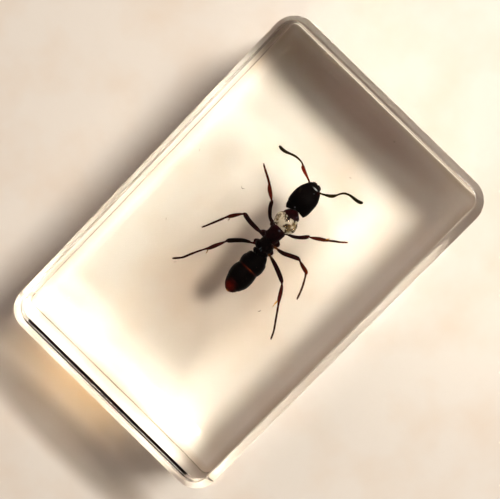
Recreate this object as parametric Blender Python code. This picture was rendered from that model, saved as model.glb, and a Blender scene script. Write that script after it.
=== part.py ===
"""A worker ant cast in a clear resin block, lying flat on its largest face.

Metres, +Z up. The origin is the middle of the block's underside, +X runs along
the block toward the ant's head and +Y toward its left side. The block is parted
level with the ant into two halves, each with its share of the pocket that the
ant lies in. The walls lean in a little toward the top, and two shallow grooves
run round them where the resin was poured in layers.
"""

import bpy
import numpy as np

MM = 0.001

# Block
BLOCK_LENGTH = 44.0 * MM
BLOCK_WIDTH = 28.6 * MM
BLOCK_HEIGHT = 17.0 * MM
BASE_ROUND = 0.06 * MM
WALL_DRAFT = 0.5 * MM
CORNER_STEPS = 7

# The upright edges are nearly square at the base and buffed rounder between two heights
SQUARE_CORNER = 0.5 * MM
BUFFED_CORNER = 2.6 * MM
CORNER_FROM = 5.0 * MM
CORNER_BETWEEN = 7.4 * MM
CORNER_TO = 12.0 * MM

# The bevel round the top face, and its small rounds into the wall and into the face, which lies
# a little off the middle toward +Y, so that the bevel is wider along -Y
BEVEL_TILT = np.radians(48.0)
BEVEL_WIDTH = 0.6 * MM
OUTER_ROUND = 0.25 * MM
INNER_ROUND = 0.25 * MM
TOP_SHIFT = 0.25 * MM
ROUND_STEPS = 2

# The shallow grooves that the pours left round the walls, each with the heights of its
# lower edge, its deepest line and its upper edge, and its depth, in millimetres
POUR_GROOVES = (
    (9.60, 9.80, 10.65, 0.25),
    (11.15, 11.32, 11.85, 0.16),
)

# Parting of the block, and the room that the ant has in it
ANT_LEVEL = 12 * MM
PARTING_GAP = 0.3 * MM
POCKET_GAP = 0.34 * MM
POCKET_REACH = 0.1

# Facets round each form of the ant, and round the pocket's copy of it
BODY_SIDES = 15
LIMB_SIDES = 7
POCKET_BODY_SIDES = 10
POCKET_LIMB_SIDES = 5

# The ant's forms in millimetres. Each station of a body form is
# (along X, sideways Y, height above the ant's level, half width, half height).
BODY_FORMS = {
    "head": (
        (7.051, -0.389, 0.05, 0.788, 0.493),
        (7.15, -0.35, 0.05, 1.123, 0.768),
        (7.327, -0.365, 0.05, 1.3, 0.887),
        (7.721, -0.384, 0.05, 1.394, 1.015),
        (8.312, -0.35, 0.05, 1.428, 1.074),
        (8.903, -0.325, 0.03, 1.394, 1.034),
        (9.395, -0.291, 0, 1.281, 0.965),
        (9.789, -0.276, -0.03, 1.098, 0.847),
        (10.134, -0.261, -0.08, 0.877, 0.69),
        (10.4, -0.281, -0.14, 0.621, 0.493),
        (10.558, -0.301, -0.18, 0.355, 0.315),
        (10.637, -0.291, -0.2, 0.138, 0.138),
    ),
    "mandibles": (
        (9.888, -0.291, -0.25, 0.611, 0.296),
        (10.43, -0.291, -0.34, 0.453, 0.236),
        (10.696, -0.291, -0.4, 0.197, 0.118),
    ),
    "neck": (
        (6.638, -0.429, -0.05, 0.414, 0.394),
        (7.278, -0.409, -0.02, 0.394, 0.355),
    ),
    "pronotum": (
        (7.051, -0.409, 0.00, 0.394, 0.374),
        (6.815, -0.468, 0.03, 0.650, 0.552),
        (6.559, -0.517, 0.05, 0.867, 0.729),
        (6.322, -0.567, 0.05, 0.955, 0.800),
        (6.120, -0.590, 0.05, 0.800, 0.720),
        (5.930, -0.610, 0.02, 0.460, 0.500),
        (5.700, -0.630, -0.02, 0.320, 0.420),
        (5.400, -0.665, -0.04, 0.340, 0.450),
        (5.120, -0.710, -0.03, 0.460, 0.540),
        (4.865, -0.744, -0.02, 0.552, 0.591),
    ),
    "mesothorax": (
        (5.111, -0.705, -0.05, 0.493, 0.493),
        (4.766, -0.685, 0, 0.729, 0.67),
        (4.274, -0.665, 0.02, 0.887, 0.768),
        (3.683, -0.665, 0, 0.847, 0.749),
        (3.19, -0.626, -0.02, 0.867, 0.729),
        (2.895, -0.586, -0.02, 0.69, 0.611),
    ),
    "propodeum": (
        (2.993, -0.606, 0, 0.591, 0.591),
        (2.599, -0.626, 0.04, 0.69, 0.709),
        (2.254, -0.744, 0.06, 0.965, 0.827),
        (1.86, -0.764, 0.04, 0.985, 0.808),
        (1.565, -0.803, 0, 0.788, 0.63),
    ),
    "petiole": (
        (1.713, -0.862, 0, 0.493, 0.443),
        (1.417, -0.921, 0.06, 0.847, 0.788),
        (1.2, -0.951, 0.08, 0.867, 0.906),
        (0.984, -0.98, 0.06, 0.709, 0.67),
        (0.629, -1.02, 0, 0.512, 0.443),
    ),
    "gaster_front": (
        (1.141, -1.079, -0.06, 0.512, 0.473),
        (1.072, -1.099, -0.05, 0.739, 0.67),
        (0.875, -1.153, -0.02, 0.97, 0.887),
        (0.531, -1.163, 0, 1.216, 1.084),
        (0.136, -1.192, 0, 1.345, 1.221),
        (-0.159, -1.187, 0, 1.413, 1.29),
        (-0.553, -1.202, 0, 1.384, 1.271),
        (-0.947, -1.207, 0, 1.261, 1.162),
    ),
    "gaster_rear": (
        (-0.799, -1.197, 0, 1.221, 1.123),
        (-1.213, -1.207, 0, 1.34, 1.241),
        (-1.735, -1.197, 0, 1.418, 1.29),
        (-2.129, -1.227, -0.01, 1.399, 1.261),
        (-2.523, -1.246, -0.02, 1.335, 1.182),
        (-2.967, -1.236, -0.05, 1.172, 1.034),
        (-3.41, -1.231, -0.08, 0.96, 0.847),
        (-3.755, -1.251, -0.1, 0.714, 0.64),
        (-4.001, -1.261, -0.12, 0.488, 0.433),
        (-4.179, -1.271, -0.13, 0.167, 0.158),
    ),
}

# Each point of a limb is (X, Y, height above the ant's level, half width).
LIMBS = {
    "coxa_front_left": (
        (4.52, -0.46, -0.2, 0.335),
        (4.39, -0.01, -0.38, 0.355),
        (4.32, 0.3, -0.42, 0.256),
        (4.37, 0.5, -0.38, 0.118),
    ),
    "coxa_front_right": (
        (4.62, -0.85, -0.2, 0.335),
        (4.69, -1.25, -0.38, 0.355),
        (4.69, -1.51, -0.4, 0.266),
        (4.69, -1.71, -0.32, 0.118),
    ),
    "coxa_middle_left": (
        (3.09, -0.41, -0.25, 0.335),
        (3.04, 0.03, -0.42, 0.394),
        (2.99, 0.4, -0.46, 0.325),
        (2.93, 0.65, -0.4, 0.138),
    ),
    "coxa_middle_right": (
        (3.19, -0.85, -0.25, 0.335),
        (3.17, -1.3, -0.42, 0.414),
        (3.11, -1.65, -0.46, 0.325),
        (3.01, -1.89, -0.4, 0.138),
    ),
    "coxa_hind_left": (
        (2.01, -0.46, -0.25, 0.355),
        (1.91, -0.01, -0.42, 0.355),
        (1.83, 0.28, -0.46, 0.256),
        (1.66, 0.45, -0.4, 0.108),
    ),
    "coxa_hind_right": (
        (2.06, -1.1, -0.25, 0.355),
        (2.06, -1.49, -0.42, 0.374),
        (2.01, -1.81, -0.46, 0.266),
        (1.91, -2, -0.38, 0.108),
    ),
    "leg_front_left": (
        (4.48, 0.41, -0.35, 0.20),
        (4.61, 0.81, -0.20, 0.16),
        (4.91, 1.19, 0.00, 0.18),
        (5.39, 1.61, 0.20, 0.19),
        (5.87, 1.89, 0.32, 0.19),
        (6.15, 2.14, 0.30, 0.08),
        (6.39, 2.49, 0.10, 0.17),
        (6.73, 2.98, -0.15, 0.21),
        (7.18, 3.50, -0.42, 0.12),
        (7.44, 3.93, -0.60, 0.12),
        (8.02, 5.02, -0.95, 0.09),
        (8.23, 5.37, -1.05, 0.08),
    ),
    "leg_middle_left": (
        (2.88, 0.12, -0.50, 0.25),
        (2.85, 0.67, -0.30, 0.16),
        (2.82, 1.16, -0.05, 0.21),
        (2.87, 2.15, 0.30, 0.23),
        (3.02, 2.94, 0.52, 0.23),
        (2.88, 3.30, 0.50, 0.09),
        (2.51, 3.59, 0.30, 0.15),
        (2.01, 3.93, 0.05, 0.20),
        (1.68, 4.15, -0.12, 0.16),
        (0.72, 4.61, -0.60, 0.11),
        (-0.80, 5.28, -1.02, 0.08),
        (-1.16, 5.45, -1.10, 0.08),
    ),
    "leg_hind_left": (
        (1.75, 0.06, -0.50, 0.25),
        (1.37, 0.43, -0.32, 0.09),
        (1.20, 0.78, -0.15, 0.15),
        (0.90, 1.29, 0.15, 0.20),
        (0.33, 1.91, 0.48, 0.22),
        (-0.13, 2.34, 0.62, 0.22),
        (-0.49, 2.54, 0.56, 0.08),
        (-0.96, 2.75, 0.30, 0.14),
        (-1.61, 3.05, -0.02, 0.20),
        (-2.21, 3.31, -0.25, 0.17),
        (-3.36, 3.96, -0.65, 0.09),
        (-5.10, 4.76, -1.10, 0.10),
        (-5.86, 5.40, -1.25, 0.10),
    ),
    "leg_front_right": (
        (4.65, -1.36, -0.35, 0.22),
        (4.72, -1.75, -0.20, 0.13),
        (4.91, -2.23, -0.02, 0.16),
        (5.29, -2.76, 0.20, 0.18),
        (5.79, -3.23, 0.36, 0.21),
        (6.12, -3.57, 0.32, 0.06),
        (6.34, -3.95, 0.15, 0.15),
        (6.70, -4.49, -0.12, 0.20),
        (7.24, -5.29, -0.45, 0.10),
        (7.63, -5.80, -0.65, 0.11),
        (8.43, -6.81, -1.05, 0.08),
    ),
    "leg_middle_right": (
        (2.60, -1.34, -0.50, 0.25),
        (2.76, -1.85, -0.32, 0.10),
        (2.79, -2.22, -0.15, 0.15),
        (2.94, -2.82, 0.10, 0.21),
        (3.29, -3.53, 0.40, 0.22),
        (3.57, -4.14, 0.53, 0.22),
        (3.56, -4.62, 0.45, 0.09),
        (3.40, -5.09, 0.20, 0.17),
        (3.25, -5.64, -0.03, 0.20),
        (2.89, -6.10, -0.30, 0.09),
        (1.37, -6.92, -0.88, 0.10),
        (0.45, -7.26, -1.10, 0.09),
    ),
    "leg_hind_right": (
        (1.73, -1.44, -0.50, 0.25),
        (1.69, -1.99, -0.32, 0.10),
        (1.62, -2.31, -0.15, 0.15),
        (1.42, -3.00, 0.15, 0.21),
        (1.08, -3.90, 0.45, 0.23),
        (0.76, -4.58, 0.60, 0.20),
        (0.50, -4.92, 0.50, 0.08),
        (0.20, -5.17, 0.28, 0.15),
        (-0.32, -5.51, -0.02, 0.20),
        (-0.95, -5.89, -0.20, 0.18),
        (-2.03, -6.66, -0.62, 0.10),
        (-3.84, -7.90, -1.12, 0.09),
        (-4.64, -8.28, -1.25, 0.09),
    ),
    "antenna_left": (
        (10.12, 0.38, 0.10, 0.09),
        (10.50, 1.13, 0.25, 0.10),
        (10.65, 1.55, 0.33, 0.15),
        (10.81, 1.94, 0.38, 0.18),
        (10.95, 2.17, 0.40, 0.16),
        (11.18, 2.57, 0.37, 0.06),
        (11.18, 3.53, 0.20, 0.11),
        (11.00, 4.09, 0.08, 0.12),
        (10.82, 4.58, -0.05, 0.15),
        (10.75, 5.09, -0.18, 0.17),
        (10.81, 5.51, -0.28, 0.11),
    ),
    "antenna_right": (
        (10.11, -0.91, 0.10, 0.09),
        (10.49, -1.65, 0.25, 0.11),
        (10.71, -2.02, 0.34, 0.16),
        (10.96, -2.28, 0.38, 0.16),
        (11.18, -2.42, 0.40, 0.11),
        (11.69, -2.68, 0.37, 0.09),
        (12.22, -3.41, 0.18, 0.11),
        (12.30, -3.92, 0.05, 0.15),
        (12.35, -4.39, -0.08, 0.17),
        (12.47, -4.80, -0.20, 0.17),
        (12.63, -5.02, -0.28, 0.10),
    ),
    "spur_hind_left": (
        (-2.28, 3.31, -0.28, 0.10),
        (-2.77, 3.22, -0.50, 0.06),
        (-2.94, 3.20, -0.55, 0.05),
    ),
    "spur_hind_right": (
        (-1.14, -5.88, -0.28, 0.10),
        (-1.64, -5.91, -0.45, 0.08),
        (-2.08, -5.98, -0.60, 0.05),
    ),
}

# The air bubble round the front of the thorax: its middle and half sizes
BUBBLE_CENTRE = np.array((5.475, -0.557, 0.10))
BUBBLE_HALF = np.array((0.94, 1.16, 1.70))
BUBBLE_SIDES = 12
BUBBLE_RINGS = 7

# Colour, roughness, transmission and index of each material
MATERIALS = {
    "resin": ((0.96, 0.95, 0.91, 1.0), 0.03, 1.0, 1.55),
    "ant": ((0.03, 0.008, 0.006, 1.0), 0.3, 0.0, 1.5),
}


def clear_scene():
    for obj in list(bpy.data.objects):
        bpy.data.objects.remove(obj)


def material(name):
    colour, roughness, transmission, index = MATERIALS[name]
    made = bpy.data.materials.new(name)
    made.use_nodes = True
    made.diffuse_color = colour
    shader = made.node_tree.nodes["Principled BSDF"]
    shader.inputs["Base Color"].default_value = colour
    shader.inputs["Roughness"].default_value = roughness
    shader.inputs["Transmission Weight"].default_value = transmission
    shader.inputs["IOR"].default_value = index
    return made


def loft(name, rings):
    """An object through rings of points, (rings, sides, 3) in metres, in triangles and closed at each end."""
    count, sides = rings.shape[:2]
    here = np.arange(count - 1)[:, None] * sides + np.arange(sides)
    beside = np.arange(count - 1)[:, None] * sides + np.roll(np.arange(sides), -1)
    lower = np.stack((here, beside, beside + sides), axis=2).reshape(-1, 3)
    upper = np.stack((here, beside + sides, here + sides), axis=2).reshape(-1, 3)
    fan = np.arange(1, sides - 1)
    first = np.stack((np.zeros_like(fan), fan + 1, fan), axis=1)
    last = np.stack((np.zeros_like(fan), fan, fan + 1), axis=1) + (count - 1) * sides
    faces = np.concatenate((lower, upper, first, last))
    mesh = bpy.data.meshes.new(name)
    mesh.from_pydata(rings.reshape(-1, 3).tolist(), [], faces.tolist())
    obj = bpy.data.objects.new(name, mesh)
    bpy.context.collection.objects.link(obj)
    return obj


def corner_radius(height):
    """The radius of the upright edges at a height: it grows smoothly from square to buffed."""
    share = np.clip((height - CORNER_FROM) / (CORNER_TO - CORNER_FROM), 0.0, 1.0)
    return SQUARE_CORNER + (BUFFED_CORNER - SQUARE_CORNER) * share * share * (3 - 2 * share)


def slab_outline(inset, height, shift=0.0):
    """The rounded rectangle of the block at a height, drawn in by inset and moved to +Y, anticlockwise."""
    inset = inset - WALL_DRAFT * (1 - height / BLOCK_HEIGHT)
    radius = corner_radius(height)
    turn = np.linspace(0.0, np.pi / 2, CORNER_STEPS + 1)
    corners = []
    for quarter, (side_x, side_y) in enumerate(((1, 1), (-1, 1), (-1, -1), (1, -1))):
        angle = turn + quarter * np.pi / 2
        x = side_x * (BLOCK_LENGTH / 2 - radius) + (radius - inset) * np.cos(angle)
        y = side_y * (BLOCK_WIDTH / 2 - radius) + (radius - inset) * np.sin(angle) + shift
        corners.append(np.stack((x, y, np.full_like(x, height)), axis=1))
    return np.concatenate(corners)


def slab_rings(levels):
    """One outline for each (inset, height) pair, or (inset, height, shift)."""
    return np.array([slab_outline(*level) for level in levels])


def groove_levels():
    """The grooves: each a shallow dip with a steep lower side and a long upper one."""
    levels = []
    for low, deep, high, depth in POUR_GROOVES:
        levels += [(0.0, low * MM), (depth * MM, deep * MM), (0.0, high * MM)]
    return levels


def bevel_levels():
    """Insets, heights and shifts from the top of the wall over the bevel to the top face."""
    outer = np.linspace(np.pi / 2, BEVEL_TILT, ROUND_STEPS + 1)
    inner = np.linspace(BEVEL_TILT, 0.0, ROUND_STEPS + 1)
    inset = OUTER_ROUND * (1 - np.sin(BEVEL_TILT)) + BEVEL_WIDTH + INNER_ROUND * np.sin(BEVEL_TILT)
    drop = (OUTER_ROUND * np.cos(BEVEL_TILT) + BEVEL_WIDTH * np.tan(BEVEL_TILT)
            + INNER_ROUND * (1 - np.cos(BEVEL_TILT)))
    over = [(OUTER_ROUND * (1 - np.sin(tilt)), BLOCK_HEIGHT - drop + OUTER_ROUND * np.cos(tilt))
            for tilt in outer]
    onto = [(inset - INNER_ROUND * np.sin(tilt), BLOCK_HEIGHT - INNER_ROUND * (1 - np.cos(tilt)))
            for tilt in inner]
    return [(back, height, TOP_SHIFT * back / inset) for back, height in over + onto]


def lower_half():
    """From the base up to the upper edge of the last groove, where the block is parted."""
    base = [(BASE_ROUND, 0.0), (0.0, BASE_ROUND)]
    wall = [(0.0, CORNER_FROM), (0.0, CORNER_BETWEEN)]
    return loft("resin_lower", slab_rings(base + wall + groove_levels()))


def upper_half():
    parting = ANT_LEVEL + PARTING_GAP / 2
    return loft("resin_upper", slab_rings([(0.0, parting)] + bevel_levels()))


def sections(points, half_widths, half_heights, sides, grow):
    """Ellipses square to a path of points, pushed out by grow all round and past both ends."""
    path = np.array(points)
    run = np.gradient(path, axis=0)
    run /= np.linalg.norm(run, axis=1)[:, None]
    path[0] -= grow * run[0]
    path[-1] += grow * run[-1]
    side = np.cross((0.0, 0.0, 1.0), run)
    side /= np.linalg.norm(side, axis=1)[:, None]
    rise = np.cross(run, side)
    angle = (np.arange(sides) + 0.5) * 2 * np.pi / sides
    wide = (np.array(half_widths) + grow)[:, None, None]
    high = (np.array(half_heights) + grow)[:, None, None]
    across = wide * np.cos(angle)[None, :, None] * side[:, None, :]
    upward = high * np.sin(angle)[None, :, None] * rise[:, None, :]
    return path[:, None, :] + across + upward


def lifted(rings):
    """Millimetres about the ant's level to metres above the base."""
    return rings * MM + np.array((0.0, 0.0, ANT_LEVEL))


def stations_of(table):
    """Points, half widths and half heights of a body form's or a limb's table."""
    table = np.array(table)
    return table[:, :3], table[:, 3], table[:, -1]


def ant_forms():
    made = []
    for tables, sides in ((BODY_FORMS, BODY_SIDES), (LIMBS, LIMB_SIDES)):
        for name, table in tables.items():
            points, wide, high = stations_of(table)
            made.append(loft("form_" + name, lifted(sections(points, wide, high, sides, 0.0))))
    return made


def open_to_parting(points, high):
    """The same stations made tall enough to reach past the parting, so that no resin is left below a limb."""
    top = np.maximum(points[:, 2] + high, POCKET_REACH)
    bottom = np.minimum(points[:, 2] - high, -POCKET_REACH)
    points[:, 2] = (top + bottom) / 2
    return points, (top - bottom) / 2


def pocket_forms():
    """The room for each form of the ant, larger than it all round by the pocket's gap."""
    made = []
    for tables, sides in ((BODY_FORMS, POCKET_BODY_SIDES), (LIMBS, POCKET_LIMB_SIDES)):
        for name, table in tables.items():
            points, wide, high = stations_of(table)
            points, high = open_to_parting(points, high)
            rings = sections(points, wide, high, sides, POCKET_GAP / MM)
            made.append(loft("pocket_" + name, lifted(rings)))
    return made


def bubble():
    """The bulge of the pocket that the air bubble fills: an ellipsoid, as rings along its Y axis."""
    polar = np.linspace(0.12, np.pi - 0.12, BUBBLE_RINGS)
    angle = np.arange(BUBBLE_SIDES) * 2 * np.pi / BUBBLE_SIDES
    x = np.sin(polar)[:, None] * np.cos(angle)
    z = np.sin(polar)[:, None] * np.sin(angle)
    y = np.cos(polar)[:, None] * np.ones_like(angle)
    rings = BUBBLE_CENTRE + BUBBLE_HALF * np.stack((x, y, z), axis=2)
    return loft("pocket_bubble", lifted(rings))


def make_helper(obj):
    obj.hide_render = True
    obj.display_type = "WIRE"


def boolean(obj, operation, other):
    modifier = obj.modifiers.new(operation.lower() + "_" + other.name, "BOOLEAN")
    modifier.operation = operation
    modifier.solver = "EXACT"
    modifier.object = other
    make_helper(other)


def fuse(name, forms):
    """The forms joined into the first of them by unions."""
    whole = forms[0]
    whole.name = name
    for form in forms[1:]:
        boolean(whole, "UNION", form)
    return whole


def shade(obj, name):
    obj.data.materials.append(material(name))
    obj.data.shade_smooth()
    obj.data.set_sharp_from_angle(angle=np.radians(40.0))


def build():
    clear_scene()
    ant = fuse("ant", ant_forms())
    shade(ant, "ant")
    pocket = pocket_forms() + [bubble()]
    for half in (lower_half(), upper_half()):
        shade(half, "resin")
        for form in pocket:
            boolean(half, "DIFFERENCE", form)


build()
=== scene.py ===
import bpy
import numpy as np
from mathutils import Matrix, Vector


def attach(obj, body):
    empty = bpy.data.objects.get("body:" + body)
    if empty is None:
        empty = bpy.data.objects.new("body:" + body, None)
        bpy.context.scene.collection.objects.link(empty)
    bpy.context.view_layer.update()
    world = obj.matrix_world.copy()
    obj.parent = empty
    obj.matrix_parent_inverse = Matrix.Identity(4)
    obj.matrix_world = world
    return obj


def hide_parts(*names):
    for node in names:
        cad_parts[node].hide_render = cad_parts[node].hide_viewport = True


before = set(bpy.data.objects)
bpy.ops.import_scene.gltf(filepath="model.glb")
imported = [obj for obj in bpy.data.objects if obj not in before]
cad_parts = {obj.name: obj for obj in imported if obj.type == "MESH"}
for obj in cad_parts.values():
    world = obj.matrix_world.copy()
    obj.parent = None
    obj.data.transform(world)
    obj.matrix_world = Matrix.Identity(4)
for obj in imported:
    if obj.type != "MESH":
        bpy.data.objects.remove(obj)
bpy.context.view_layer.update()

mm = 0.001
tiny = 0.0001    # keeps a share from being divided by nothing

# the ant lies level at this height, as its solid does
antLevel = 12


# Puts arrays of points and faces into a mesh object that rides on the block.
def newPiece(name, points, faces, material):
    mesh = bpy.data.meshes.new(name)
    mesh.from_pydata(points.tolist(), [], faces.tolist())
    mesh.materials.append(material)
    mesh.shade_smooth()
    piece = bpy.data.objects.new(name, mesh)
    bpy.context.scene.collection.objects.link(piece)
    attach(piece, "root")
    return piece


# Triangles of a tube whose rows are rings: each cell of the grid is cut in two,
# and a fan closes each end on a point of its own, which follows the rings.
def tubeFaces(rows, cols):
    row, col = np.meshgrid(np.arange(rows - 1), np.arange(cols), indexing="ij")
    a = row * cols + col
    b = row * cols + (col + 1) % cols
    lower = np.stack((a, b, b + cols), axis=-1).reshape(-1, 3)
    upper = np.stack((a, b + cols, a + cols), axis=-1).reshape(-1, 3)
    ring = np.arange(cols)
    after = (ring + 1) % cols
    last = (rows - 1) * cols
    startPole = np.full(cols, rows * cols)
    endPole = startPole + 1
    startFan = np.stack((startPole, after, ring), axis=1)
    endFan = np.stack((endPole, last + ring, last + after), axis=1)
    return np.concatenate((lower, upper, startFan, endFan))


# Points of a closed tube: the rings, then the middle of the first and of the last ring.
def tubePoints(rings):
    poles = np.stack((rings[0].mean(axis=0), rings[-1].mean(axis=0)))
    return np.concatenate((rings.reshape(-1, 3), poles))


# Joins (points, faces) pairs into one pair.
def joined(parts):
    starts = np.cumsum([0] + [len(part[0]) for part in parts[:-1]])
    points = np.concatenate([part[0] for part in parts])
    faces = np.concatenate([part[1] + start for part, start in zip(parts, starts)])
    return points, faces


# A smooth curve through the rows of keys, read at count even steps: each span is a
# Hermite cubic whose end slopes are the mean of the slopes of the chords that meet there.
def smoothThrough(keys, count):
    keys = np.asarray(keys, float)
    slopes = np.gradient(keys, axis=0)
    at = np.linspace(0, len(keys) - 1, count)
    span = np.minimum(at.astype(int), len(keys) - 2)
    t = (at - span)[:, None]
    a, b = keys[span], keys[span + 1]
    c, d = slopes[span], slopes[span + 1]
    return ((2*t**3 - 3*t**2 + 1) * a + (t**3 - 2*t**2 + t) * c
            + (3*t**2 - 2*t**3) * b + (t**3 - t**2) * d)


# Bends a circle's cosine or sine toward a box's: sign(w) * |w|^(2 / p).
def squared(wave, power):
    return np.sign(wave) * np.abs(wave) ** (2 / power)


# Rings square to a path: a superellipse |y/wide|^p + |z/high|^p = 1 at each point, with y across
# the path and z as near upward as it can be. Positions in mm about the ant's level.
def ringsAlong(path, wide, high, cols, power=2.0):
    run = np.gradient(path, axis=0)
    run /= np.linalg.norm(run, axis=1)[:, None]
    side = np.cross((0, 0, 1.0), run)
    side /= np.linalg.norm(side, axis=1)[:, None]
    rise = np.cross(run, side)
    angle = (np.arange(cols) + 0.5) * 2 * np.pi / cols
    across = squared(np.cos(angle), power)
    upward = squared(np.sin(angle), power)
    return (path[:, None] + wide[:, None, None] * across[None, :, None] * side[:, None]
            + high[:, None, None] * upward[None, :, None] * rise[:, None])


# Moves points in mm about the ant's level into the block, in metres.
def inBlock(points):
    return (points + (0, 0, antLevel)) * mm


# sRGB hex to the linear colour that a shader takes
def linear(hexCode, alpha=1.0):
    channels = [int(hexCode[i:i + 2], 16) / 255 for i in (1, 3, 5)]
    return tuple(c / 12.92 if c <= 0.04045 else ((c + 0.055) / 1.055) ** 2.4 for c in channels) + (alpha,)


# Adds a node: settings are its properties, links are socket name to value or to another node's output.
def addNode(tree, kind, settings={}, links={}):
    node = tree.nodes.new(kind)
    for key, value in settings.items():
        setattr(node, key, value)
    for key, value in links.items():
        if isinstance(value, bpy.types.NodeSocket):
            tree.links.new(value, node.inputs[key])
        else:
            node.inputs[key].default_value = value
    return node


# A material with an empty tree, and the object's own coordinates in it.
def newMaterial(name):
    material = bpy.data.materials.new(name)
    material.use_nodes = True
    tree = material.node_tree
    tree.nodes.clear()
    place = addNode(tree, "ShaderNodeTexCoord").outputs["Object"]
    return material, tree, place


# Cloudy noise whose lumps are size mm across.
def clouds(tree, place, size, detail):
    node = addNode(tree, "ShaderNodeTexNoise", links={
        "Vector": place, "Scale": 1 / (size * mm), "Detail": detail})
    return node.outputs["Fac"]


# Maps a value from one range into another and holds it there.
def remapped(tree, value, start=(0, 1), end=(0, 1), kind="LINEAR"):
    node = addNode(tree, "ShaderNodeMapRange", {"interpolation_type": kind}, {
        "Value": value, "From Min": start[0], "From Max": start[1], "To Min": end[0], "To Max": end[1]})
    return node.outputs["Result"]


# Blends the first colour into the second by a share.
def blended(tree, share, first, second, kind="MIX"):
    node = addNode(tree, "ShaderNodeMix", {"data_type": "RGBA", "blend_type": kind}, {
        "Factor": share, "A": first, "B": second})
    return node.outputs["Result"]


# Lightens or darkens a colour by a factor.
def scaled(tree, colour, factor):
    node = addNode(tree, "ShaderNodeVectorMath", {"operation": "SCALE"}, {0: colour, "Scale": factor})
    return node.outputs["Vector"]


# Turns heights into a bump of depth mm.
def bumped(tree, height, depth, strength=1.0):
    node = addNode(tree, "ShaderNodeBump", links={
        "Height": height, "Strength": strength, "Distance": depth * mm})
    return node.outputs["Normal"]


# Ends a tree with a principled surface, and a volume where there is one.
def finished(tree, surface, volume=None):
    shader = addNode(tree, "ShaderNodeBsdfPrincipled", links=surface)
    links = {"Surface": shader.outputs["BSDF"]}
    if volume:
        links["Volume"] = volume
    addNode(tree, "ShaderNodeOutputMaterial", links=links)


resinLook = {
    "index": 1.55,          # polyester casting resin
    "roughness": 0.0,       # polished faces
    "tint": "#fff2d2", "density": 14.0,     # faint straw colour of aged resin, per metre
    "wave": 6.0, "waveDepth": 0.02,         # mm, the slow ripple that hand polishing leaves
    # the bubble's wall has a pale film of painted sheen, standing in for the silvery reflection of the air in
    # it, stained in patches of this many mm
    "paintedSheen": "#f6efd8", "stain": "#8f6f3c", "sheenStainSize": 0.5,
    "sheenToStain": (0.45, 0.6),                # painted sheen turns to stain between these levels of the noise
    "sheenClear": (0.4, 0.95),               # how clear the painted sheen is, and the stain
}


# Cast polyester resin, polished by hand: water clear, faintly straw coloured through its whole
# depth, and slightly rippled.
def castResin():
    s = resinLook
    material, tree, place = newMaterial("cast_resin")
    ripple = clouds(tree, place, s["wave"], 1.0)
    absorb = addNode(tree, "ShaderNodeVolumeAbsorption", links={
        "Color": linear(s["tint"]), "Density": s["density"]})
    finished(tree, {
        "Base Color": (1, 1, 1, 1), "Roughness": s["roughness"], "IOR": s["index"],
        "Transmission Weight": 1.0, "Normal": bumped(tree, ripple, s["waveDepth"])},
        absorb.outputs["Volume"])
    return material


# The wall of the air bubble: resin again, but with a thin cream film of painted sheen that stands in for the
# bubble's silvery reflection, clearer and yellow brown in patches.
def bubbleSheenAndStain():
    s = resinLook
    material, tree, place = newMaterial("bubble_sheen_and_stain")
    # the cream colour is painted sheen for the bubble's silvery reflection; the yellow brown is stain
    much = remapped(tree, clouds(tree, place, s["sheenStainSize"], 3.0), s["sheenToStain"])
    finished(tree, {
        "Base Color": blended(tree, much, linear(s["paintedSheen"]), linear(s["stain"])),
        "Roughness": s["roughness"], "IOR": s["index"],
        "Transmission Weight": remapped(tree, much, end=s["sheenClear"])})
    return material


cuticleLook = {
    "index": 1.54,
    "specular": 0.04,               # sunk in resin of nearly its own index, cuticle hardly shines
    "roughness": (0.3, 0.5),        # from the middle of a pit to its rim
    "grain": 0.07,                  # mm, the size of the fine pits
    "pitDepth": 0.01, "pitStrength": 0.35,
    "mottle": 0.4,                  # mm
    "mottleFrom": (0.3, 0.7), "mottleTo": (0.6, 1.35),      # levels of the noise, and the brightness there
}


# Dried cuticle: hard, smooth and nearly black where thick, red to amber where thin.
# The attribute holds the colour at each point, stains and painted glints included; fine pits and a soft
# mottle break it up.
def driedCuticle():
    s = cuticleLook
    material, tree, place = newMaterial("dried_cuticle")
    pigment_and_glints = addNode(tree, "ShaderNodeAttribute", {"attribute_name": "pigment_and_glints"})
    level = remapped(tree, clouds(tree, place, s["mottle"], 4.0), s["mottleFrom"], s["mottleTo"])
    grain = addNode(tree, "ShaderNodeTexVoronoi", links={"Vector": place, "Scale": 1 / (s["grain"] * mm)})
    pits = grain.outputs["Distance"]
    finished(tree, {
        "Base Color": scaled(tree, pigment_and_glints.outputs["Color"], level), "IOR": s["index"],
        "Roughness": remapped(tree, pits, end=s["roughness"]), "Specular IOR Level": s["specular"],
        "Normal": bumped(tree, pits, s["pitDepth"], s["pitStrength"])})
    return material


blockShape = {
    "length": 44.0, "width": 28.6, "height": 17.0,
    "draft": 0.5,        # each wall leans out this much from top to base
    "baseRound": 0.06,
    # the top edges are bevelled, and the bevel is rounded into the wall and into the top
    "bevelTilt": 48, "bevelWidth": 0.6, "outerRound": 0.25, "innerRound": 0.25,
    "topShift": 0.25,    # the top face lies this much off centre, so the bevel is wider on one side
    # the upright edges are nearly square at the base and buffed round toward the top
    "baseCorner": 0.5, "topCorner": 2.6, "cornerFrom": 5.0, "cornerTo": 12.0,
    # two saw-tooth grooves round the walls, where the second pour met the first: height and depth
    "pourLines": ((9.6, 0), (9.8, 0.25), (10.65, 0), (11.15, 0), (11.32, 0.16), (11.85, 0)),
    "cornerSteps": 18, "roundSteps": 12, "wallSteps": 90,
}


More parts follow.
